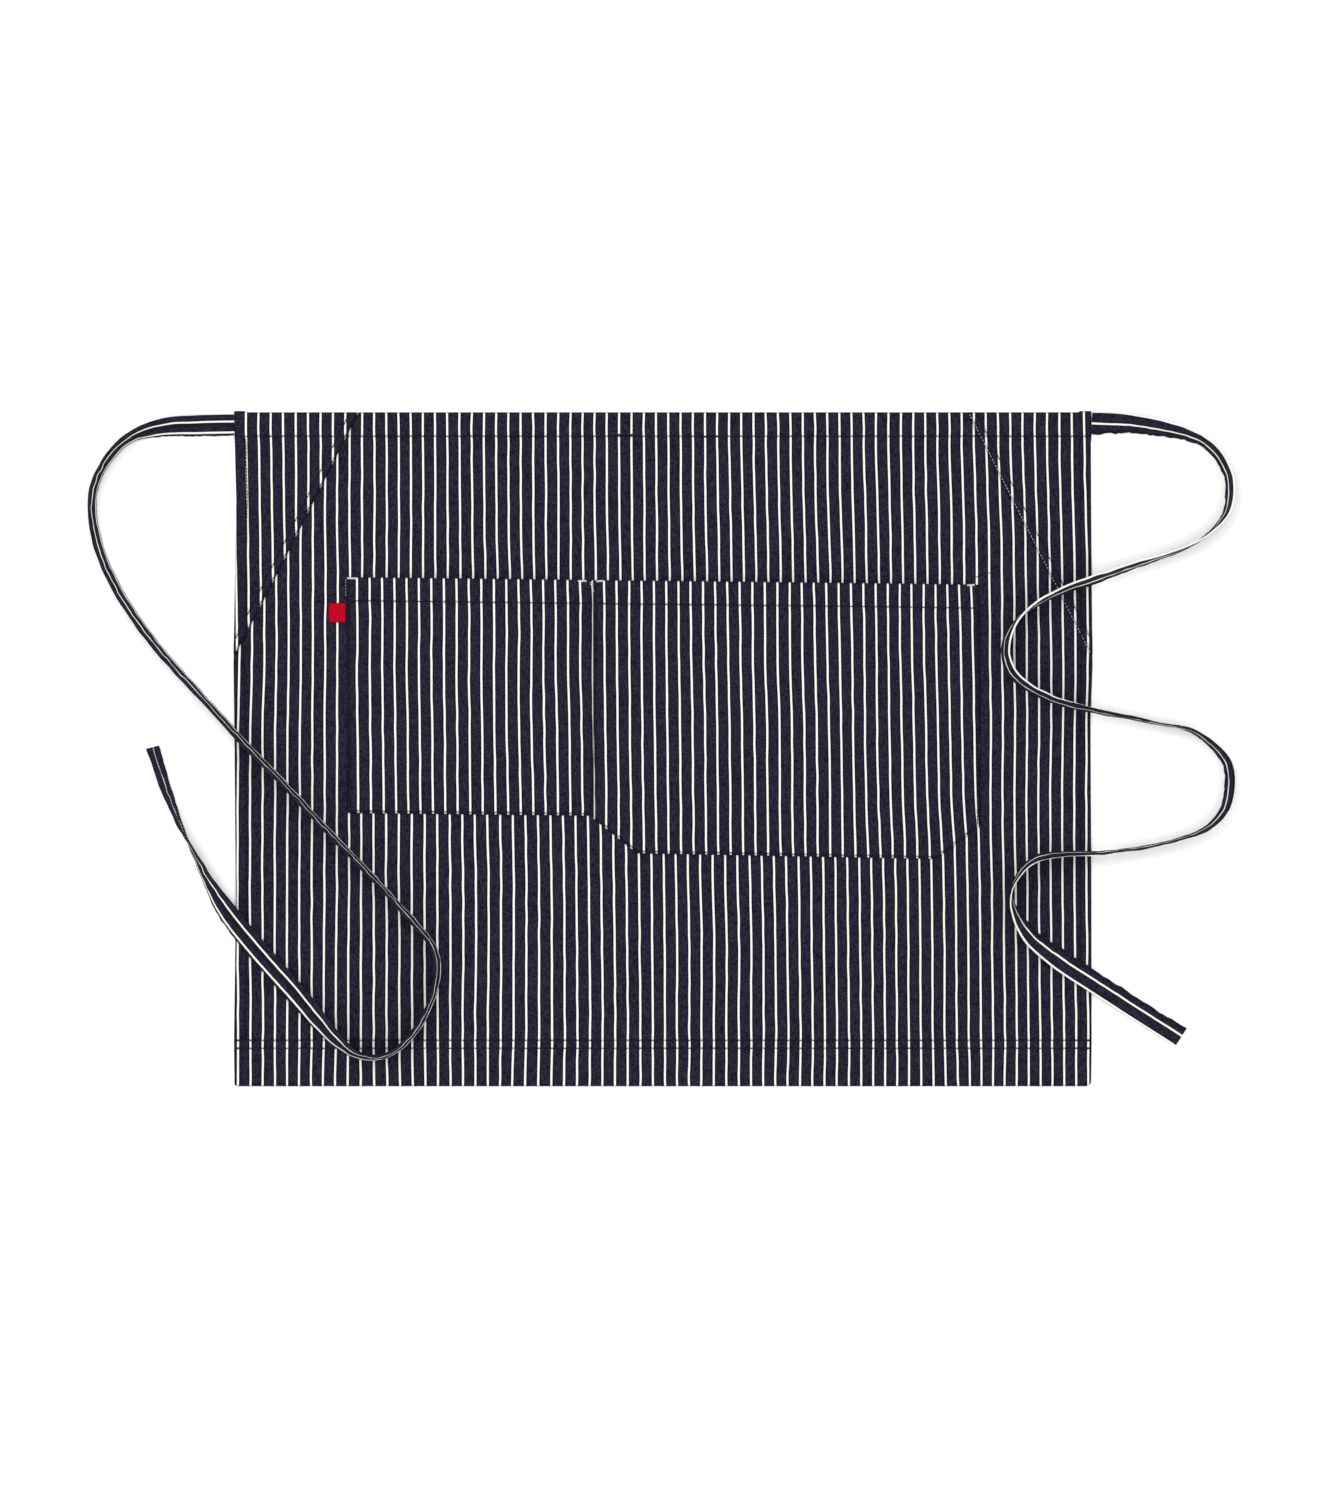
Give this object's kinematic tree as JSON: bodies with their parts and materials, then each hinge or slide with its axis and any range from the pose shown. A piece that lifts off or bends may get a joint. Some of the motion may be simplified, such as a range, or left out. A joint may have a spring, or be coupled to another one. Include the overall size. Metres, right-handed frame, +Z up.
{
  "type": "waist apron",
  "caption": "Striped cloth waist apron lying face up, with pieced upper corners, side-by-side patch pockets, hemmed edges, a small label and free waist ties.",
  "frame": {"origin": "on the surface that the apron lies on, under the middle of the body without its ties", "axes": "+X across the apron towards the large pocket, +Y up the apron towards the waist, +Z up off the surface, out of the front face"},
  "size_m": [1.0862, 0.64, 0.0227],
  "materials": {
    "main_cloth": "navy cotton twill with ivory stripes",
    "corner_cloth": "navy cotton twill with ivory stripes",
    "pocket_cloth": "navy cotton twill with ivory stripes",
    "tie_cloth": "navy cotton twill with lengthwise ivory stripes",
    "tag_cloth": "red woven label, bare"
  },
  "bodies": {
    "root": {"main_panel": "main_cloth", "corner_panel_left": "corner_cloth", "corner_panel_right": "corner_cloth", "pocket_small": "pocket_cloth", "pocket_large": "pocket_cloth", "tie_left": "tie_cloth", "tie_right": "tie_cloth", "tag": "tag_cloth"}
  },
  "joints": []
}
